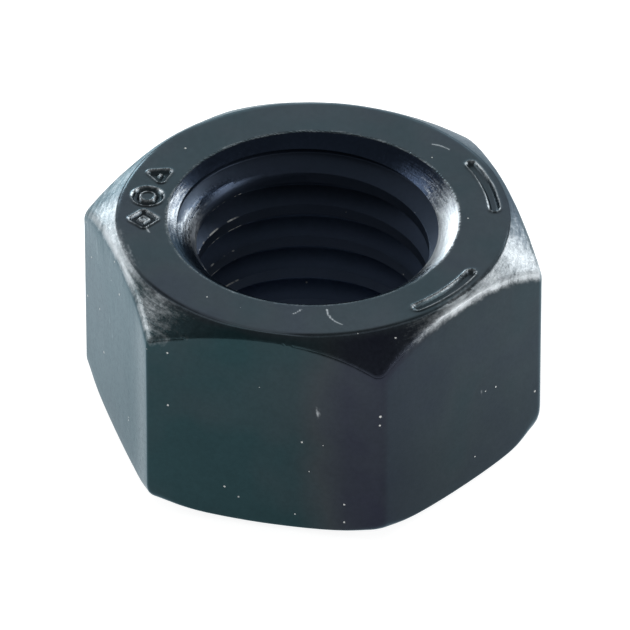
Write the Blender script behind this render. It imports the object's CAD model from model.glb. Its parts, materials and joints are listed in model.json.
import json
import math

import bpy
import numpy as np
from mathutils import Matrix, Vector


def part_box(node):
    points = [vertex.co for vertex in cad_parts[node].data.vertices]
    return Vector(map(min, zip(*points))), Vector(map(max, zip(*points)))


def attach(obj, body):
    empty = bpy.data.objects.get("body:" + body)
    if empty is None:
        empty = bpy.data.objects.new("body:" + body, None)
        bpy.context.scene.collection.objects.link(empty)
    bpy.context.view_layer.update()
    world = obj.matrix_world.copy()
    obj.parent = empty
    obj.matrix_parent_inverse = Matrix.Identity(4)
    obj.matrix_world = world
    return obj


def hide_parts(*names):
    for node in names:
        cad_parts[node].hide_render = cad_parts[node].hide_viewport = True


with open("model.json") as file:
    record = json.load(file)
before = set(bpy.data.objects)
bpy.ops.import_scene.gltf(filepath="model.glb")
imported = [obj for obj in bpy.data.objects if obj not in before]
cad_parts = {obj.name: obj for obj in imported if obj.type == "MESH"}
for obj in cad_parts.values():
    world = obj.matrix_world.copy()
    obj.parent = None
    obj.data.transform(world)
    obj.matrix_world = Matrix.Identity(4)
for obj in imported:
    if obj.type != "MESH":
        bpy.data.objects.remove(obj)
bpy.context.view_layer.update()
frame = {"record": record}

MM = 0.001

# ---- The forged blank ----
# A slug of medium-carbon steel, upset cold in a hexagonal die, so its upright edges are rounded and
# no two corners are quite alike. Both ends are then turned to a round face that slopes away to the
# corners, with a countersink at each mouth of the hole.
nut_low, nut_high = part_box("hex_nut")
across_flats = nut_high.y - nut_low.y
thickness = nut_high.z - nut_low.z
thread_mount = next(m for m in frame["record"]["mounts"] if m["name"] == "thread")
crest_r = thread_mount["dims"]["r_mm"] * MM
countersink_depth = (thickness - thread_mount["dims"]["length_mm"] * MM) / 2
mouth_r = crest_r + countersink_depth
face_r = 0.477 * across_flats
# The underside leaves its round face here and curves up to the corners ever more steeply.
under_face_r = 0.412 * across_flats
under_curve = 1.51 / across_flats
# The top slope and the top countersink are a little crowned: this steep where they leave the face, and
# steeper further down.
slope_start = 0.58
mouth_slope = 0.5
# No two corners of the die are alike. From the corner at +X and then anticlockwise: how round the
# upright edge is, how far it stands round from its true place in degrees, how far the top slope drops
# to it, and how far up it the rounding of the underside reaches.
corner_rounds = np.array([0.7, 0.5, 0.6, 0.3, 0.35, 0.95]) * MM
corner_shifts = np.array([0.0, 0.0, 0.0, 0.0, -1.25, -0.3])
corner_drops = np.array([1.95, 1.75, 1.75, 1.95, 1.72, 2.1]) * MM
corner_lifts = np.array([1.25, 0.2, 0.2, 0.4, 0.6, 0.45]) * MM


def slice_angles():
    """Angles of the upright slices: close together at each corner and, on the marked side, between them."""
    close = np.array([-1.9, -1.45, -1.1, -0.8, -0.5, -0.25, 0.0, 0.25, 0.5, 0.8, 1.1, 1.45, 1.9])
    sides = []
    for side in range(6):
        finely = 120 if side in (2, 3) else 84
        sides.append(60 * side + np.concatenate([close, np.linspace(2.5, 57.5, finely)]))
    return np.radians(np.concatenate(sides))


def by_corner(values, angle):
    """A value given at each corner, carried evenly along the flats between them."""
    return np.interp(np.degrees(angle) % 360, np.arange(7) * 60, np.append(values, values[0]))


def near_corner(values, angle, spread):
    """A value given at each corner that dies away on both sides of it, over this many degrees."""
    from_corner = np.degrees((angle + math.pi / 6) % (math.pi / 3) - math.pi / 6)
    return values[np.round(angle / (math.pi / 3)).astype(int) % 6] * np.exp(-((from_corner / spread) ** 2))


def hexagon_r(angle):
    """Distance from the axis to the rounded hexagon at each angle."""
    from_corner = (angle + math.pi / 6) % (math.pi / 3) - math.pi / 6
    rounding = corner_rounds[np.round(angle / (math.pi / 3)).astype(int) % 6]
    centre = across_flats / math.sqrt(3) - rounding * 2 / math.sqrt(3)
    flat = across_flats / 2 / np.cos(math.pi / 6 - np.abs(from_corner))
    ends = np.arctan(rounding / 2 / (centre + rounding * math.cos(math.pi / 6)))
    inside = np.maximum(rounding**2 - (centre * np.sin(from_corner)) ** 2, 0)
    arc = centre * np.cos(from_corner) + np.sqrt(inside)
    return np.where(np.abs(from_corner) < ends, arc, flat)


def slope_drop(radius, angle):
    """How far the crowned top slope lies below the stamped face at each distance from the axis."""
    corner_reach = across_flats / math.sqrt(3) - face_r
    bend = (by_corner(corner_drops, angle) - slope_start * corner_reach) / corner_reach**2
    past = np.maximum(radius - face_r, 0)
    return slope_start * past + bend * past**2


def under_rise(radius):
    """Height of the underside above the bearing face at each distance from the axis."""
    return under_curve * np.maximum(radius - under_face_r, 0) ** 2


def slice_outline(angle):
    """Rows of (radius, height) down the upright slices, out of the hole, over the top and back in."""
    outer_r = hexagon_r(angle)
    slope = outer_r - face_r
    rows = []

    def at(radius, height):
        row = np.empty((len(angle), 2))
        row[:, 0] = radius
        row[:, 1] = height
        return row

    def rounded(start, corner, end, count):
        for s in np.linspace(0, 1, count):
            rows.append((1 - s) ** 2 * start + 2 * s * (1 - s) * corner + s**2 * end)

    def along(curve, first, last, count):
        for s in np.linspace(0, 1, count + 2)[1:-1]:
            rows.append(curve((1 - s) * first + s * last))

    def top_slope(radius):
        return at(radius, thickness - slope_drop(radius, angle))

    def countersink(radius):
        inside = mouth_r - radius
        steepness = mouth_slope + (1 - mouth_slope) * inside / countersink_depth
        return at(radius, thickness - inside * steepness)

    def underside(radius):
        return at(radius, under_rise(radius))

    def wall(height):
        return at(outer_r, height)

    mouth_reach = 0.14 * MM
    rows.append(at(crest_r, thickness - countersink_depth))
    along(countersink, crest_r, mouth_r - mouth_reach, 10)
    mouth_end = at(mouth_r + mouth_reach, thickness)
    rounded(countersink(mouth_r - mouth_reach), at(mouth_r, thickness), mouth_end, 5)
    along(lambda r: at(r, thickness), mouth_r + mouth_reach, face_r - 0.2 * MM, 35)
    face_reach = np.minimum(0.25 * MM, 0.3 * slope)
    rounded(at(face_r - 0.2 * MM, thickness), at(face_r, thickness), top_slope(face_r + face_reach), 6)
    edge_reach = np.minimum(0.38 * MM, 0.4 * slope)
    along(top_slope, face_r + face_reach, outer_r - edge_reach, 12)
    slope_foot = thickness - slope_drop(outer_r, angle)
    rounded(top_slope(outer_r - edge_reach), wall(slope_foot), wall(slope_foot - 0.5 * MM), 7)
    under_reach = 0.2 * MM + near_corner(corner_lifts, angle, 6)
    under_in = np.minimum(0.8 * under_reach, 0.5 * (outer_r - under_face_r))
    along(wall, slope_foot - 0.5 * MM, under_rise(outer_r) + under_reach, 18)
    foot = under_rise(outer_r)
    rounded(wall(foot + under_reach), wall(foot), underside(outer_r - under_in), 7)
    along(underside, outer_r - under_in, np.full(len(angle), under_face_r), 7)
    rows.append(at(under_face_r, 0))
    rounded(at(mouth_r + 0.1 * MM, 0), at(mouth_r, 0), at(mouth_r - 0.07 * MM, 0.07 * MM), 4)
    along(lambda r: at(r, mouth_r - r), mouth_r - 0.07 * MM, crest_r, 4)
    rows.append(at(crest_r, countersink_depth))
    rows.append(at(crest_r, thickness / 2))
    return np.stack(rows)


def quads_round(row_count, column_count):
    """Corner numbers of the faces of a grid of points that closes on itself both ways."""
    row, column = np.divmod(np.arange(row_count * column_count), column_count)
    here = row * column_count
    below = (row + 1) % row_count * column_count
    beside = (column + 1) % column_count
    return np.stack([here + column, below + column, below + beside, here + beside], axis=1)


true_angle = slice_angles()
blank_radius, blank_height = np.moveaxis(slice_outline(true_angle), -1, 0)
off_axis = np.clip((blank_radius - face_r) / MM, 0, 1)
blank_angle = true_angle + off_axis * np.radians(near_corner(corner_shifts, true_angle, 9))

# ---- The stamped marks ----
# Struck into the turned face with a hard punch before the nut is blackened: two strokes a sixth of a
# turn apart that give the grade, and a plain triangle, ring and diamond. The steel rises a little
# along both sides of each line.
stamp_depth = 0.2 * MM
stamp_lip = 0.06 * MM
grade_angles = (-30, 30)
grade_circle_r = 10.63 * MM
grade_sweep = 27
grade_width = 0.46 * MM
figure_angle = 181
figure_step = 13
figure_circle_r = 9.85 * MM
figure_r = 0.85 * MM
figure_line = 0.3 * MM


def distance_to_stroke(x, y, middle):
    """Distance to the arc that one grade stroke follows."""
    along = (np.arctan2(y, x) - math.radians(middle) + math.pi) % (2 * math.pi) - math.pi
    half = math.radians(grade_sweep) / 2 - grade_width / 2 / grade_circle_r
    past = np.clip(along, -half, half) + math.radians(middle)
    return np.hypot(x - grade_circle_r * np.cos(past), y - grade_circle_r * np.sin(past))


def distance_to_figure(x, y, middle, sides):
    """Distance to the outline of a figure with straight sides, or to a ring when it has none."""
    turn = math.radians(middle)
    u = x * math.cos(turn) + y * math.sin(turn) - figure_circle_r
    v = y * math.cos(turn) - x * math.sin(turn)
    if not sides:
        return np.abs(np.hypot(u, v) - (figure_r - figure_line / 2))
    reach = figure_r - figure_line / 2 / math.cos(math.pi / sides)
    nearest = np.full(np.shape(u), 1.0)
    for k in range(sides):
        start = reach * np.exp(2j * math.pi * k / sides)
        end = reach * np.exp(2j * math.pi * (k + 1) / sides)
        point = u + 1j * v
        share = np.clip(((point - start) * np.conj(end - start)).real / abs(end - start) ** 2, 0, 1)
        nearest = np.minimum(nearest, np.abs(point - start - share * (end - start)))
    return nearest


def from_stamp_wall(x, y):
    """Distance out from the nearest wall of a stamped line, less than zero inside the line."""
    nearest = np.full(np.shape(x), 1.0)
    for middle in grade_angles:
        nearest = np.minimum(nearest, distance_to_stroke(x, y, middle) - grade_width / 2)
    for k, sides in enumerate((3, 0, 4)):
        middle = figure_angle + (k - 1) * figure_step
        nearest = np.minimum(nearest, distance_to_figure(x, y, middle, sides) - figure_line / 2)
    return nearest


def stamped_height(x, y):
    """Height that the punch gave the face: a rounded channel with a low lip along each side."""
    out = from_stamp_wall(x, y)
    into = np.clip(0.5 - out / (0.2 * MM), 0, 1)
    lip = np.exp(-(((out - 0.12 * MM) / (0.09 * MM)) ** 2))
    return stamp_lip * lip - stamp_depth * into**2 * (3 - 2 * into)


blank_x = blank_radius * np.cos(blank_angle)
blank_y = blank_radius * np.sin(blank_angle)
on_face = blank_height > thickness - 0.06 * MM
blank_z = blank_height + np.where(on_face, stamped_height(blank_x, blank_y), 0)
blank = bpy.data.meshes.new("struck_blank")
points = np.stack([blank_x, blank_y, blank_z], axis=-1).reshape(-1, 3)
blank.from_pydata(points, [], quads_round(*blank_radius.shape))
# 1 on the forged sides, less on the turned slopes, and 0 in the hole, where a tool cut the steel true.
forged = np.interp(blank_radius, [mouth_r, mouth_r + 0.3 * MM, face_r, face_r + 0.3 * MM], [0, 0.2, 0.3, 1])
near_slope = (blank_radius > face_r) & (blank_height > thickness - 2.6 * MM)
forged = np.where(near_slope, 3.0, forged)
forged_points = blank.attributes.new("forged", "FLOAT", "POINT")
forged_points.data.foreach_set("value", forged.astype(np.float32).ravel())

# Hairline scratches from the bin, on the stamped face and the sides. Each is given by its ends (x, y, z)
# and how far its middle bows to the side, all in mm. On the sides the bow leaves the surface, so the
# scratch is faint in its middle.
scratches = (
    ((2.8, -8.55, 13.89), (3.95, -9.75, 13.89), 0.22),
    ((1.0, -9.4, 13.89), (1.35, -8.9, 13.89), 0.04),
    ((-9.6, -2.2, 13.89), (-8.9, -3.6, 13.89), 0.1),
    ((5.2, 8.6, 13.89), (6.3, 8.3, 13.89), -0.1),
    ((-5.6, -11.9, 3.4), (-4.9, -11.9, 4.1), 0.08),
    ((2.4, -11.9, 9.4), (3.1, -11.9, 8.9), 0.05),
    ((-1.9, -11.9, 2.0), (-1.2, -11.9, 2.2), 0.03),
    ((10.9, -4.9, 6.0), (11.4, -4.1, 6.9), 0.05),
    ((-11.2, -4.4, 8.0), (-10.6, -5.4, 6.6), 0.06),
    ((-3.4, 11.9, 5.0), (-1.6, 11.9, 6.6), 0.1),
    ((9.2, 7.9, 9.0), (8.4, 9.2, 8.2), 0.06),
    ((-9.9, 6.5, 4.0), (-9.2, 7.8, 3.2), 0.05),
)
scratch_width = 0.07 * MM


def scratch_mask(points):
    """1 along each scratch and 0 away from it, for points given as rows of x, y, z."""
    mask = np.zeros(len(points))
    for start, end, bow in scratches:
        first = np.array(start) * MM
        run = np.array(end) * MM - first
        share = np.clip((points - first) @ run / (run @ run), 0, 1)
        level_side = np.array((run[1], -run[0], 0)) / np.hypot(run[0], run[1])
        bowed = 4 * share * (1 - share) * bow * MM
        path = first + share[:, None] * run + bowed[:, None] * level_side
        away = np.linalg.norm(points - path, axis=1)
        mask = np.maximum(mask, np.exp(-((away / scratch_width) ** 2)))
    return mask


# ---- The tapped thread ----
# A coarse 5/8 inch right-hand thread, eleven turns to the inch, cut by a tap after the mouths are
# countersunk. The groove is a helix with 60 degree flanks, and it leaves the hole's wall standing
# between its turns as a narrow flat crest.
thread_pitch = 25.4 / 11 * MM
thread_r = 15.875 / 2 * MM
thread_turns = 9
# Height of the crest's middle where the thread crosses +X.
crest_start = -0.45 * MM
# The crest is what is left of the pitch beside the flat at the root and the two 30 degree flanks.
crest_width = thread_pitch * 7 / 8 - 2 * (thread_r - crest_r) * math.tan(math.radians(30))


def node_tree(name, kind, inputs, outputs):
    """A new node group with its named inputs and outputs, each given as (name, socket type, default)."""
    tree = bpy.data.node_groups.new(name, kind)
    for direction, sockets in (("INPUT", inputs), ("OUTPUT", outputs)):
        for label, socket_type, default in sockets:
            socket = tree.interface.new_socket(label, in_out=direction, socket_type=socket_type)
            if default is not None:
                socket.default_value = default
    return tree


def put(tree, node_type, settings=None, **sockets):
    """A new node, with its settings and its input sockets set from values or wired from other sockets."""
    node = tree.nodes.new(node_type)
    for key, value in (settings or {}).items():
        setattr(node, key, value)
    for key, value in sockets.items():
        socket = node.inputs[int(key[1:]) if key[1:].isdigit() else key.replace("_", " ")]
        if isinstance(value, bpy.types.NodeSocket):
            tree.links.new(value, socket)
        else:
            socket.default_value = value
    return node


def maths(tree, operation, *operands, clamp=False):
    """The result of one Math node."""
    sockets = {f"i{k}": operand for k, operand in enumerate(operands)}
    return put(tree, "ShaderNodeMath", {"operation": operation, "use_clamp": clamp}, **sockets).outputs[0]


def groove_tree():
    """The steel that the tap takes out, as one closed coil with a 60 degree point."""
    length = "NodeSocketFloat"
    tree = node_tree(
        "tapped groove",
        "GeometryNodeTree",
        [
            ("Pitch", length, 0.002),
            ("Turns", length, 5.0),
            ("Thread radius", length, 0.008),
            ("Crest radius", length, 0.007),
            ("Start height", length, 0.0),
            ("Root flat", length, 0.0003),
            ("Overcut", length, 0.0005),
            ("Root rounding", length, 0.0001),
        ],
        [("Groove", "NodeSocketGeometry", None)],
    )
    given = tree.nodes.new("NodeGroupInput").outputs
    inner = maths(tree, "SUBTRACT", given["Crest radius"], given["Overcut"])
    depth = maths(tree, "SUBTRACT", given["Thread radius"], inner)
    middle = maths(tree, "MULTIPLY_ADD", depth, 0.5, inner)
    flare = maths(tree, "MULTIPLY", depth, 2 * math.tan(math.radians(30)))
    spiral = put(
        tree,
        "GeometryNodeCurveSpiral",
        Resolution=90,
        Rotations=given["Turns"],
        Start_Radius=middle,
        End_Radius=middle,
        Height=maths(tree, "MULTIPLY", given["Turns"], given["Pitch"]),
        Reverse=True,
    )
    upright = put(tree, "GeometryNodeSetCurveNormal", {"mode": "Z_UP"}, Curve=spiral.outputs[0])
    section = put(
        tree,
        "GeometryNodeCurvePrimitiveQuadrilateral",
        {"mode": "TRAPEZOID"},
        Height=depth,
        Bottom_Width=maths(tree, "ADD", given["Root flat"], flare),
        Top_Width=given["Root flat"],
        Offset=0.0,
    )
    rounded = put(
        tree,
        "GeometryNodeFilletCurve",
        {"mode": "POLY"},
        Curve=section.outputs[0],
        Count=3,
        Radius=given["Root rounding"],
        Limit_Radius=True,
    )
    turned = put(
        tree,
        "GeometryNodeTransform",
        Geometry=rounded.outputs[0],
        Rotation=(0, 0, math.radians(-90)),
    )
    coil = put(
        tree,
        "GeometryNodeCurveToMesh",
        Curve=upright.outputs[0],
        Profile_Curve=turned.outputs[0],
        Fill_Caps=True,
    )
    lift = put(tree, "ShaderNodeCombineXYZ", Z=given["Start height"])
    placed = put(tree, "GeometryNodeTransform", Geometry=coil.outputs[0], Translation=lift.outputs[0])
    finish = tree.nodes.new("NodeGroupOutput")
    tree.links.new(placed.outputs[0], finish.inputs[0])
    return tree


def nut_tree():
    """The struck blank with its forged unevenness, less the tapped groove."""
    length = "NodeSocketFloat"
    tree = node_tree(
        "forged and tapped nut",
        "GeometryNodeTree",
        [
            ("Blank", "NodeSocketGeometry", None),
            ("Unevenness", length, 0.00004),
            ("Unevenness across", length, 0.006),
            ("Scale pitting", length, 0.000008),
            ("Scale across", length, 0.0007),
            ("Seed", length, 1.0),
            ("Pitch", length, 0.002),
            ("Turns", length, 5.0),
            ("Thread radius", length, 0.008),
            ("Crest radius", length, 0.007),
            ("Start height", length, 0.0),
            ("Finish", "NodeSocketMaterial", None),
        ],
        [("Nut", "NodeSocketGeometry", None)],
    )
    given = tree.nodes.new("NodeGroupInput").outputs
    place = put(tree, "GeometryNodeInputPosition").outputs[0]
    direction = put(tree, "GeometryNodeInputNormal").outputs[0]
    forged_input = put(tree, "GeometryNodeInputNamedAttribute", {"data_type": "FLOAT"}, Name="forged")
    is_forged = forged_input.outputs[0]
    lift = None
    layers = (("Unevenness across", "Unevenness", 1.0), ("Scale across", "Scale pitting", 3.0))
    for across, amount, detail in layers:
        noise = put(
            tree,
            "ShaderNodeTexNoise",
            {"noise_dimensions": "4D"},
            Vector=place,
            W=given["Seed"],
            Scale=maths(tree, "DIVIDE", 1.0, given[across]),
            Detail=detail,
        ).outputs[0]
        part = maths(tree, "MULTIPLY", maths(tree, "SUBTRACT", noise, 0.5), given[amount])
        lift = part if lift is None else maths(tree, "ADD", lift, part)
    lift = maths(tree, "MULTIPLY", lift, is_forged)
    offset = put(tree, "ShaderNodeVectorMath", {"operation": "SCALE"}, i0=direction, Scale=lift).outputs[0]
    uneven = put(tree, "GeometryNodeSetPosition", Geometry=given["Blank"], Offset=offset).outputs[0]
    groove = put(
        tree,
        "GeometryNodeGroup",
        {"node_tree": groove_tree()},
        Pitch=given["Pitch"],
        Turns=given["Turns"],
        Thread_radius=given["Thread radius"],
        Crest_radius=given["Crest radius"],
        Start_height=given["Start height"],
        Root_flat=maths(tree, "DIVIDE", given["Pitch"], 8.0),
    ).outputs[0]
    cut = put(
        tree,
        "GeometryNodeMeshBoolean",
        {"operation": "DIFFERENCE", "solver": "MANIFOLD"},
        Mesh_1=uneven,
        Mesh_2=groove,
    ).outputs[0]
    real = put(tree, "GeometryNodeRealizeInstances", Geometry=cut).outputs[0]
    finished = put(tree, "GeometryNodeSetMaterial", Geometry=real, Material=given["Finish"]).outputs[0]
    finish = tree.nodes.new("NodeGroupOutput")
    tree.links.new(finished, finish.inputs[0])
    return tree


def set_input(modifier, label, value):
    """Sets one named input of a Geometry Nodes modifier."""
    for item in modifier.node_group.interface.items_tree:
        if item.name == label and item.in_out == "INPUT":
            modifier[item.identifier] = value
            return
    raise KeyError(label)


# ---- The black finish ----
# Hot black oxide: the nut is boiled in salts until a thin blue-black film grows on the steel, then
# oiled. The film keeps each surface's own texture, and wears to bright steel on the edges.
number = "NodeSocketFloat"
vector = "NodeSocketVector"


def object_place(tree):
    """The point's place in the nut's own coordinates."""
    return put(tree, "ShaderNodeTexCoord").outputs["Object"]


def noise(tree, place, across, detail=2.0, rough=0.5, seed=0.0):
    """A cloud pattern from 0 to 1 whose blotches are about this far across, in metres."""
    return put(
        tree,
        "ShaderNodeTexNoise",
        {"noise_dimensions": "4D"},
        Vector=place,
        W=seed,
        Scale=1 / across if isinstance(across, float) else maths(tree, "DIVIDE", 1.0, across),
        Detail=detail,
        Roughness=rough,
    ).outputs["Fac"]


def between(tree, value, low, high, from_value=0.0, to_value=1.0):
    """The value carried smoothly from one number to another as it goes from low to high."""
    return put(
        tree,
        "ShaderNodeMapRange",
        {"interpolation_type": "SMOOTHSTEP"},
        Value=value,
        From_Min=low,
        From_Max=high,
        To_Min=from_value,
        To_Max=to_value,
    ).outputs["Result"]


def blend(tree, share, first, second):
    """A colour between two colours."""
    return put(tree, "ShaderNodeMix", {"data_type": "RGBA"}, i0=share, i6=first, i7=second).outputs[2]


def from_axis(tree, apart):
    """Distance of a point from the nut's axis, from its separated coordinates."""
    squares = [maths(tree, "MULTIPLY", apart[k], apart[k]) for k in (0, 1)]
    return maths(tree, "SQRT", maths(tree, "ADD", *squares))


def patchy_film():
    """Where the oxide film is thick or thin, which turns its colour, and how dark it is."""
    tree = node_tree(
        "patchy film",
        "ShaderNodeTree",
        [("Place", vector, None), ("Patch across", number, 0.005), ("Grain across", number, 0.0003)],
        [("Hue", number, None), ("Tone", number, None), ("Grain", number, None)],
    )
    given = tree.nodes.new("NodeGroupInput").outputs
    result = tree.nodes.new("NodeGroupOutput").inputs
    patches = noise(tree, given["Place"], given["Patch across"], 3.0, 0.55, 2.3)
    grain = noise(tree, given["Place"], given["Grain across"], 4.0, 0.65, 7.1)
    clouds = noise(tree, given["Place"], given["Patch across"], 4.0, 0.6, 5.9)
    tree.links.new(between(tree, patches, 0.36, 0.64), result["Hue"])
    tree.links.new(between(tree, clouds, 0.3, 0.7, 0.91, 1.09), result["Tone"])
    tree.links.new(grain, result["Grain"])
    return tree


def turning_lines():
    """Marks of the lathe tool: even rings round the axis, and longer, broken streaks along them."""
    tree = node_tree(
        "turning lines",
        "ShaderNodeTree",
        [("Place", vector, None), ("Spacing", number, 0.0002), ("Streak length", number, 0.002)],
        [("Lines", number, None), ("Streaks", number, None)],
    )
    given = tree.nodes.new("NodeGroupInput").outputs
    result = tree.nodes.new("NodeGroupOutput").inputs
    apart = put(tree, "ShaderNodeSeparateXYZ", i0=given["Place"]).outputs
    radius = from_axis(tree, apart)
    away = maths(tree, "ADD", radius, maths(tree, "MULTIPLY", apart[2], 0.35))
    across = maths(tree, "DIVIDE", away, given["Spacing"])
    turn = maths(tree, "ARCTAN2", apart[0], maths(tree, "MULTIPLY", apart[1], -1.0))
    round_axis = maths(tree, "DIVIDE", maths(tree, "MULTIPLY", turn, radius), given["Streak length"])
    line = put(tree, "ShaderNodeCombineXYZ", X=across)
    streak = put(tree, "ShaderNodeCombineXYZ", X=across, Y=round_axis)
    for label, path in (("Lines", line), ("Streaks", streak)):
        pattern = put(
            tree, "ShaderNodeTexNoise", Vector=path.outputs[0], Scale=1.0, Detail=3.0, Roughness=0.65
        )
        tree.links.new(pattern.outputs["Fac"], result[label])
    return tree


def dust_specks():
    """Single specks of pale dust that settled on the oil."""
    tree = node_tree(
        "dust specks",
        "ShaderNodeTree",
        [
            ("Place", vector, None),
            ("Apart", number, 0.0004),
            ("Share", number, 0.1),
            ("Size", number, 0.12),
        ],
        [("Speck", number, None)],
    )
    given = tree.nodes.new("NodeGroupInput").outputs
    result = tree.nodes.new("NodeGroupOutput").inputs
    cells = put(
        tree,
        "ShaderNodeTexVoronoi",
        Vector=given["Place"],
        Scale=maths(tree, "DIVIDE", 1.0, given["Apart"]),
    ).outputs
    chance = put(tree, "ShaderNodeSeparateColor", i0=cells["Color"]).outputs
    reach = maths(tree, "MULTIPLY", given["Size"], maths(tree, "MULTIPLY_ADD", chance[1], 1.3, 0.3))
    inside = maths(tree, "LESS_THAN", cells["Distance"], reach)
    chosen = maths(tree, "LESS_THAN", chance[0], given["Share"])
    tree.links.new(maths(tree, "MULTIPLY", inside, chosen), result["Speck"])
    return tree


def worn_edge():
    """Where handling has rubbed the film off: along the edges, broken up by the steel's own grain."""
    tree = node_tree(
        "worn edge",
        "ShaderNodeTree",
        [
            ("Place", vector, None),
            ("Edge", number, 0.0),
            ("Streaks", number, 0.5),
            ("Broken across", number, 0.0002),
        ],
        [("Bare", number, None)],
    )
    given = tree.nodes.new("NodeGroupInput").outputs
    result = tree.nodes.new("NodeGroupOutput").inputs
    breaks = noise(tree, given["Place"], given["Broken across"], 3.0, 0.7, 3.7)
    mixed = maths(tree, "MULTIPLY_ADD", given["Streaks"], 0.6, maths(tree, "MULTIPLY", breaks, 0.4))
    near_edge = maths(tree, "MULTIPLY", given["Edge"], 0.75)
    both = maths(tree, "ADD", near_edge, maths(tree, "SUBTRACT", mixed, 0.5))
    tree.links.new(between(tree, both, 0.15, 0.85), result["Bare"])
    return tree


def crest_burrs():
    """Thin broken threads of burr and dust caught along both edges of the thread's crest."""
    length = "NodeSocketFloat"
    tree = node_tree(
        "crest burrs",
        "ShaderNodeTree",
        [
            ("Place", vector, None),
            ("Pitch", length, 0.002),
            ("Crest radius", length, 0.007),
            ("Start height", length, 0.0),
            ("Crest width", length, 0.0007),
            ("Burr width", length, 0.00008),
            ("Burr length", length, 0.001),
        ],
        [("Burr", number, None)],
    )
    given = tree.nodes.new("NodeGroupInput").outputs
    result = tree.nodes.new("NodeGroupOutput").inputs
    apart = put(tree, "ShaderNodeSeparateXYZ", i0=given["Place"]).outputs
    just_past_crest = maths(tree, "ADD", given["Crest radius"], 0.1 * MM)
    inside = maths(tree, "LESS_THAN", from_axis(tree, apart), just_past_crest)
    turn = maths(tree, "DIVIDE", maths(tree, "ARCTAN2", apart[1], apart[0]), 2 * math.pi)
    rise = maths(tree, "DIVIDE", maths(tree, "SUBTRACT", apart[2], given["Start height"]), given["Pitch"])
    turns = maths(tree, "FRACT", maths(tree, "ADD", maths(tree, "SUBTRACT", rise, turn), 100.5))
    turns_off = maths(tree, "ABSOLUTE", maths(tree, "SUBTRACT", turns, 0.5))
    from_middle = maths(tree, "MULTIPLY", turns_off, given["Pitch"])
    past_edge = maths(tree, "MULTIPLY_ADD", given["Crest width"], -0.5, from_middle)
    from_edge = maths(tree, "ABSOLUTE", past_edge)
    line = maths(tree, "LESS_THAN", from_edge, maths(tree, "MULTIPLY", given["Burr width"], 0.5))
    around = maths(tree, "MULTIPLY", turn, 2 * math.pi * crest_r)
    round_axis = maths(tree, "DIVIDE", around, given["Burr length"])
    along = put(tree, "ShaderNodeCombineXYZ", X=round_axis, Y=maths(tree, "MULTIPLY", rise, 1.7)).outputs[0]
    breaks = put(tree, "ShaderNodeTexNoise", Vector=along, Scale=1.0, Detail=2.0, Roughness=0.6)
    left = maths(tree, "MULTIPLY", maths(tree, "LESS_THAN", apart[0], -0.78 * crest_r), line)
    burr = maths(tree, "MULTIPLY", between(tree, breaks.outputs["Fac"], 0.5, 0.62), left)
    tree.links.new(maths(tree, "MULTIPLY", burr, inside), result["Burr"])
    return tree


film_group = patchy_film()
lines_group = turning_lines()
dust_group = dust_specks()
wear_group = worn_edge()
burr_group = crest_burrs()


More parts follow.
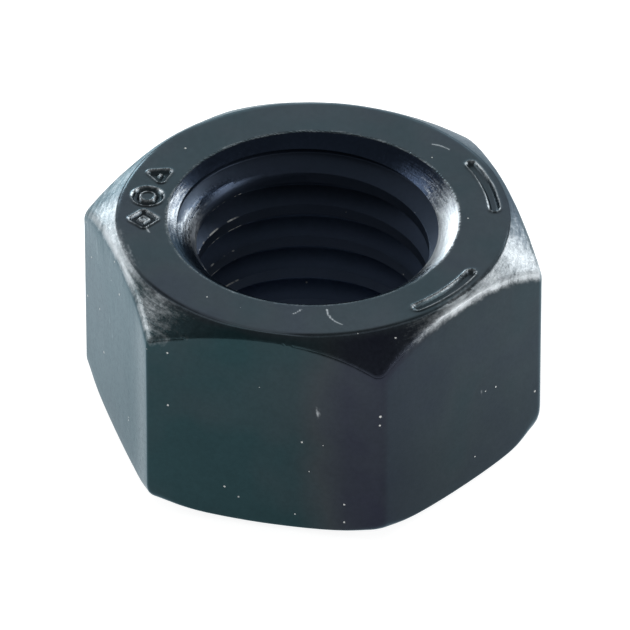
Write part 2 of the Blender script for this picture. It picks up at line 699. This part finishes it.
def oxide_material(name, teal, grey, violet, patch, gloss, turned_dulls, line_depth, line_spacing, metal):
    """Black oxide over steel, with its own colours, patch size, roughness and depth of turning lines."""
    material = bpy.data.materials.new(name)
    material.use_nodes = True
    tree = material.node_tree
    tree.nodes.clear()
    place = object_place(tree)
    patches = put(
        tree,
        "ShaderNodeGroup",
        {"node_tree": film_group},
        Place=place,
        Patch_across=patch,
        Grain_across=0.25 * MM,
    ).outputs
    turning = put(
        tree,
        "ShaderNodeGroup",
        {"node_tree": lines_group},
        Place=place,
        Spacing=line_spacing,
        Streak_length=1.2 * MM,
    ).outputs
    speck = put(
        tree,
        "ShaderNodeGroup",
        {"node_tree": dust_group},
        Place=place,
        Apart=0.42 * MM,
        Share=0.024,
        Size=0.13,
    ).outputs["Speck"]
    burr = put(
        tree,
        "ShaderNodeGroup",
        {"node_tree": burr_group},
        Place=place,
        Pitch=thread_pitch,
        Crest_radius=crest_r,
        Start_height=crest_start,
        Crest_width=crest_width,
        Burr_width=0.07 * MM,
        Burr_length=0.9 * MM,
    ).outputs["Burr"]
    speck = maths(tree, "MAXIMUM", speck, burr)
    edge = put(tree, "ShaderNodeAttribute", {"attribute_name": "edge"}).outputs["Fac"]
    turned = put(tree, "ShaderNodeAttribute", {"attribute_name": "turned"}).outputs["Fac"]
    stamped = put(tree, "ShaderNodeAttribute", {"attribute_name": "stamped"}).outputs["Fac"]
    bare = put(
        tree,
        "ShaderNodeGroup",
        {"node_tree": wear_group},
        Place=place,
        Edge=edge,
        Streaks=turning["Streaks"],
        Broken_across=0.2 * MM,
    ).outputs["Bare"]
    film_hue = put(tree, "ShaderNodeAttribute", {"attribute_name": "film_hue"}).outputs["Fac"]
    film_tone = put(tree, "ShaderNodeAttribute", {"attribute_name": "film_tone"}).outputs["Fac"]
    drift = maths(tree, "MULTIPLY", maths(tree, "SUBTRACT", patches["Hue"], 0.5), 0.3)
    film = tree.nodes.new("ShaderNodeValToRGB")
    tree.links.new(maths(tree, "ADD", film_hue, drift, clamp=True), film.inputs[0])
    film.color_ramp.elements.new(0.5)
    for stop, colour in zip(film.color_ramp.elements, (teal, grey, violet)):
        stop.color = colour
    tint = film.outputs[0]
    grainy = maths(tree, "MULTIPLY", patches["Tone"], between(tree, patches["Grain"], 0.3, 0.7, 0.93, 1.07))
    grainy = maths(tree, "MULTIPLY", grainy, film_tone)
    shade = put(tree, "ShaderNodeCombineColor", i0=grainy, i1=grainy, i2=grainy).outputs[0]
    toned = put(
        tree, "ShaderNodeMix", {"data_type": "RGBA", "blend_type": "MULTIPLY"}, i0=1.0, i6=tint, i7=shade
    ).outputs[2]
    colour = blend(tree, bare, toned, (0.46, 0.49, 0.51, 1))
    colour = blend(tree, speck, colour, (0.55, 0.56, 0.55, 1))
    rough = between(tree, patches["Grain"], 0.25, 0.75, gloss - 0.06, gloss + 0.06)
    rough = maths(tree, "ADD", rough, maths(tree, "MULTIPLY", turned, turned_dulls))
    rough = maths(tree, "ADD", rough, maths(tree, "MULTIPLY", bare, 0.2))
    rough = maths(tree, "ADD", rough, maths(tree, "MULTIPLY", stamped, 0.15))
    rough = maths(tree, "MAXIMUM", rough, maths(tree, "MULTIPLY", speck, 0.9))
    fine = noise(tree, place, 0.12 * MM, 3.0, 0.6, 1.7)
    coarse = maths(tree, "MULTIPLY_ADD", maths(tree, "MAXIMUM", turned, edge), 0.014 * MM, 0.001 * MM)
    relief = maths(tree, "MULTIPLY", fine, coarse)
    streaky = maths(tree, "MULTIPLY_ADD", turning["Streaks"], 0.5, turning["Lines"])
    line_relief = maths(tree, "MULTIPLY", maths(tree, "MULTIPLY", streaky, line_depth), turned)
    relief = maths(tree, "ADD", relief, line_relief)
    bump = put(tree, "ShaderNodeBump", Height=relief, Strength=1.0, Distance=1.0).outputs[0]
    shader = put(
        tree,
        "ShaderNodeBsdfPrincipled",
        Base_Color=colour,
        Metallic=maths(tree, "SUBTRACT", maths(tree, "MAXIMUM", turned, metal), speck, clamp=True),
        Roughness=rough,
        Normal=bump,
        Specular_Tint=(0.68, 0.79, 0.85, 1),
    )
    output = tree.nodes.new("ShaderNodeOutputMaterial")
    tree.links.new(shader.outputs[0], output.inputs["Surface"])
    return material


outside_finish = oxide_material(
    "black_oxide_steel",
    (0.020, 0.044, 0.050, 1),
    (0.037, 0.046, 0.053, 1),
    (0.025, 0.027, 0.045, 1),
    9 * MM,
    0.2,
    0.14,
    0.02 * MM,
    0.16 * MM,
    1.0,
)
thread_finish = oxide_material(
    "black_oxide_cut_thread",
    (0.034, 0.051, 0.084, 1),
    (0.036, 0.051, 0.084, 1),
    (0.038, 0.049, 0.084, 1),
    5 * MM,
    0.46,
    -0.24,
    0.016 * MM,
    0.13 * MM,
    0.75,
)

blank_object = bpy.data.objects.new("struck_blank", blank)
bpy.context.scene.collection.objects.link(blank_object)
tapping = blank_object.modifiers.new("tapping", "NODES")
tapping.node_group = nut_tree()
set_input(tapping, "Unevenness", 0.05 * MM)
set_input(tapping, "Unevenness across", 6 * MM)
set_input(tapping, "Scale pitting", 0.012 * MM)
set_input(tapping, "Scale across", 0.7 * MM)
set_input(tapping, "Seed", 4.0)
set_input(tapping, "Pitch", thread_pitch)
set_input(tapping, "Turns", float(thread_turns))
set_input(tapping, "Thread radius", thread_r)
set_input(tapping, "Crest radius", crest_r)
set_input(tapping, "Start height", crest_start + thread_pitch / 2 - 2 * thread_pitch)
set_input(tapping, "Finish", outside_finish)
evaluated = blank_object.evaluated_get(bpy.context.evaluated_depsgraph_get())
nut_mesh = bpy.data.meshes.new_from_object(evaluated)
nut_mesh.name = "oxide_hex_nut"
nut = bpy.data.objects.new("oxide_hex_nut", nut_mesh)
bpy.context.scene.collection.objects.link(nut)
bpy.data.objects.remove(blank_object)

# What the finish needs to know at each point: how near an edge it is, whether a tool turned it, and
# whether it lies in a stamped line.
spots = np.empty(len(nut_mesh.vertices) * 3, np.float32)
nut_mesh.vertices.foreach_get("co", spots)
spot_x, spot_y, spot_z = spots.reshape(-1, 3).T.astype(float)
spot_r = np.hypot(spot_x, spot_y)
spot_angle = np.arctan2(spot_y, spot_x)
outer_r = hexagon_r(spot_angle)
inward = outer_r - spot_r
slope_edge = np.hypot(spot_z - thickness + slope_drop(outer_r, spot_angle), inward)
under_edge = np.hypot(spot_z - under_rise(outer_r), inward)
mouth_edge = np.hypot(spot_r - mouth_r, spot_z - thickness)
lower_mouth_edge = np.hypot(spot_r - mouth_r, spot_z)


def battered(middle, spread):
    """Falls from 1 to 0 with the angle away from the worst-knocked place, given in degrees."""
    away = (np.degrees(spot_angle) - middle + 180) % 360 - 180
    return np.exp(-((away / spread) ** 2))


knocks = 1.0 + 0.2 * np.sin(9 * spot_angle + 1.1) + 0.16 * np.sin(23 * spot_angle + 2.0)
knocked = np.clip((battered(-18, 29) + battered(206, 38) + battered(90, 40) * 0.5) * knocks, 0, 1)
knocked *= np.interp(np.degrees(spot_angle) % 360, (241, 249, 294, 300), (1, 0.35, 0.35, 1))
below_slope = np.clip((thickness - slope_drop(outer_r, spot_angle) - spot_z) / (0.5 * MM), 0, 1)
edge = np.zeros(len(spot_r))
for away, reach, strength in (
    (slope_edge, 0.8 * MM, knocked * (1 - 0.75 * below_slope)),
    (under_edge, 0.16 * MM, 0.3),
    (mouth_edge, 0.16 * MM, 0.35),
    (lower_mouth_edge, 0.1 * MM, 0.5),
):
    edge = np.maximum(edge, strength * np.exp(-((away / reach) ** 2)))
off_slope = spot_z - thickness + slope_drop(spot_r, spot_angle)
on_slope = (spot_r > face_r + 0.1 * MM) & (np.abs(off_slope) < 0.12 * MM)
edge = np.where(on_slope, np.maximum(edge, 0.78 * knocked), edge)
inside = mouth_r - spot_r
countersink_z = thickness - inside * (mouth_slope + (1 - mouth_slope) * inside / countersink_depth)
off_countersink = np.minimum(np.abs(spot_z - countersink_z), np.abs(spot_z - inside))
on_countersink = (inside > 0) & (spot_r > crest_r - 0.05 * MM) & (off_countersink < 0.12 * MM)
rubbed = np.clip(battered(4, 36) + 0.6 * battered(188, 24), 0, 1) * 0.9
edge = np.where(on_countersink & (spot_z > thickness / 2), np.maximum(edge, rubbed), edge)
past_crest = np.clip((spot_r - crest_r) / (0.35 * MM), 0, 1)
turned = np.where(on_slope, 1.0, np.where(on_countersink, past_crest, 0.0))
# The film turns from teal to violet round the sides, from place to place.
sides = np.clip((spot_r - face_r) / (0.5 * MM), 0, 1)
round_the_sides = np.degrees(spot_angle) % 360
hue_places = (0, 60, 120, 200, 262, 278, 292, 300, 330, 360)
hues = (0.5, 0.9, 0.3, 0.3, 0.0, 0.1, 0.8, 0.9, 0.5, 0.5)
tone_places = (0, 120, 240, 298, 302, 330, 360)
tones = (0.92, 1.0, 0.93, 0.78, 0.68, 0.78, 0.92)
film_hue = 0.5 + sides * (np.interp(round_the_sides, hue_places, hues) - 0.5)
film_tone = 1 + sides * (np.interp(round_the_sides, tone_places, tones) - 1)
# Down the hole the salts drain slowly and leave a greyer film than at the stamped end.
film_tone *= np.where(inside > 0.05 * MM, np.interp(spot_z, (0, thickness), (1.9, 0.5)), 1.0)
well_down = np.clip((thickness - 3 * MM - spot_z) / (2 * MM), 0, 1)
groove_share = np.clip((spot_r - crest_r) / (0.5 * MM), 0, 1) * well_down
film_tone *= np.where(inside > 0.05 * MM, 0.85 + 0.95 * groove_share, 1.0)
on_top = (spot_z > thickness - 0.5 * MM) & (spot_r > mouth_r) & (spot_r < face_r)
from_wall = np.where(on_top, from_stamp_wall(spot_x, spot_y), 1.0)
stamped = np.clip(0.5 - from_wall / (0.2 * MM), 0, 1)
edge = np.maximum(edge, 0.68 * np.exp(-(((from_wall - 0.1 * MM) / (0.09 * MM)) ** 2)))
scratched = scratch_mask(spots.reshape(-1, 3).astype(float))
edge = np.maximum(edge, 0.8 * scratched)
for label, values in (
    ("edge", edge),
    ("turned", turned),
    ("stamped", stamped),
    ("film_hue", film_hue),
    ("film_tone", film_tone),
):
    attribute = nut_mesh.attributes.new(label, "FLOAT", "POINT")
    attribute.data.foreach_set("value", values.astype(np.float32))
nut_mesh.shade_smooth()
nut_mesh.set_sharp_from_angle(angle=math.radians(38))
middles = np.empty(len(nut_mesh.polygons) * 3, np.float32)
nut_mesh.polygons.foreach_get("center", middles)
in_hole = np.hypot(middles[0::3], middles[1::3]) < mouth_r - 0.05 * MM
nut_mesh.materials.clear()
nut_mesh.materials.append(outside_finish)
nut_mesh.materials.append(thread_finish)
nut_mesh.polygons.foreach_set("material_index", in_hole.astype(np.int32))
nut_mesh.update()
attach(nut, "root")
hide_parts("hex_nut")

# ---- The studio ----
# A white sheet underneath, a soft overcast light that fades overhead, and two low soft boxes behind,
# one to each side, which catch the slopes and the rim of the hole.
floor_mesh = bpy.data.meshes.new("studio_floor")
floor_mesh.from_pydata(
    [(x, y, -0.02 * MM) for x, y in ((-1, -1), (1, -1), (1, 1), (-1, 1))],
    [],
    [(0, 1, 2, 3)],
)
floor = bpy.data.objects.new("studio_floor", floor_mesh)
bpy.context.scene.collection.objects.link(floor)
paper = bpy.data.materials.new("white_paper")
paper.use_nodes = True
paper_shader = paper.node_tree.nodes["Principled BSDF"]
paper_shader.inputs["Base Color"].default_value = (0.35, 0.35, 0.35, 1)
paper_shader.inputs["Roughness"].default_value = 1.0
paper_shader.inputs["Specular IOR Level"].default_value = 0.0
paper_shader.inputs["Emission Color"].default_value = (1, 1, 1, 1)
# The paper gives back no light where the nut stands on it.
from_nut = put(
    paper.node_tree,
    "ShaderNodeVectorMath",
    {"operation": "LENGTH"},
    i0=object_place(paper.node_tree),
).outputs["Value"]
lit = between(paper.node_tree, from_nut, across_flats * 0.3, across_flats * 0.42, 0.18, 0.9)
further = between(paper.node_tree, from_nut, across_flats * 0.5, across_flats * 1.2, 0.0, 0.2)
lit = maths(paper.node_tree, "ADD", lit, further)
paper.node_tree.links.new(lit, paper_shader.inputs["Emission Strength"])
# From below it isn't there, so that the underside can be seen.
see_through = put(paper.node_tree, "ShaderNodeBsdfTransparent").outputs[0]
from_below = put(paper.node_tree, "ShaderNodeNewGeometry").outputs["Backfacing"]
paper_top = paper_shader.outputs[0]
paper_side = put(paper.node_tree, "ShaderNodeMixShader", i0=from_below, i1=paper_top, i2=see_through)
paper.node_tree.links.new(paper_side.outputs[0], paper.node_tree.nodes["Material Output"].inputs["Surface"])
floor_mesh.materials.append(paper)

sky = bpy.data.worlds.new("overcast")
bpy.context.scene.world = sky
sky.use_nodes = True
sky_tree = sky.node_tree
sky_tree.nodes.clear()
sky_place = put(sky_tree, "ShaderNodeTexCoord").outputs["Generated"]
behind = put(
    sky_tree, "ShaderNodeVectorMath", {"operation": "DOT_PRODUCT"}, i0=sky_place, i1=(-0.225, 0.974, 0.0)
).outputs["Value"]
sky_ramp = sky_tree.nodes.new("ShaderNodeValToRGB")
sky_tree.links.new(behind, sky_ramp.inputs[0])
stops = sky_ramp.color_ramp.elements
while len(stops) < 4:
    stops.new(0.5)
for stop, (share, level) in zip(stops, ((0.0, 0.24), (0.42, 0.25), (0.68, 1.0), (1.0, 1.0))):
    stop.position = share
    stop.color = (0.95 * level, 0.98 * level, level, 1)
backdrop = put(sky_tree, "ShaderNodeBackground", Color=sky_ramp.outputs[0], Strength=1.35)
sky_output = sky_tree.nodes.new("ShaderNodeOutputWorld")
sky_tree.links.new(backdrop.outputs[0], sky_output.inputs[0])


def soft_box(name, turn, rise, away, size, level):
    """A soft box aimed at the nut: turned anticlockwise from +X, and raised off the floor, in degrees."""
    light = bpy.data.lights.new(name, "AREA")
    light.shape = "RECTANGLE"
    light.size, light.size_y = size
    light.energy = level * math.pi * light.size * light.size_y
    lamp = bpy.data.objects.new(name, light)
    a, e = math.radians(turn), math.radians(rise)
    out = Vector((math.cos(a) * math.cos(e), math.sin(a) * math.cos(e), math.sin(e)))
    lamp.location = Vector((0, 0, thickness)) + away * out
    lamp.rotation_euler = out.to_track_quat("Z", "Y").to_euler()
    lamp.visible_camera = False
    bpy.context.scene.collection.objects.link(lamp)


soft_box("back_left_box", 130, 10, 0.6, (0.28, 0.2), 7.5)
soft_box("back_right_box", 57, 19, 0.6, (0.24, 0.26), 6.8)
soft_box("left_box", 182, 20, 0.6, (0.26, 0.26), 5)
soft_box("right_box", 5, 14, 0.6, (0.28, 0.26), 6)

# ---- The camera ----
# A long lens that looks down on the stamped face from in front, a little to the right of square on.
camera_turn = math.radians(13.03)
camera_rise = math.radians(36.86)
camera_away = 30.05 * across_flats
aim_right = 0.0052 * across_flats
aim_down = 0.0058 * across_flats
back = Vector((
    math.sin(camera_turn) * math.cos(camera_rise),
    -math.cos(camera_turn) * math.cos(camera_rise),
    math.sin(camera_rise),
))
picture_right = Vector((math.cos(camera_turn), math.sin(camera_turn), 0))
picture_up = back.cross(picture_right)
aim = Vector((0, 0, thickness / 2)) + aim_right * picture_right - aim_down * picture_up
camera = bpy.data.objects.new("camera", bpy.data.cameras.new("camera"))
camera.data.lens = 698.5
camera.data.sensor_width = 36
camera.data.clip_start = 0.01
camera.data.clip_end = 10
camera.location = aim + camera_away * back
camera.rotation_euler = back.to_track_quat("Z", "Y").to_euler()
bpy.context.scene.collection.objects.link(camera)
bpy.context.scene.camera = camera
bpy.context.scene.view_settings.view_transform = "Standard"
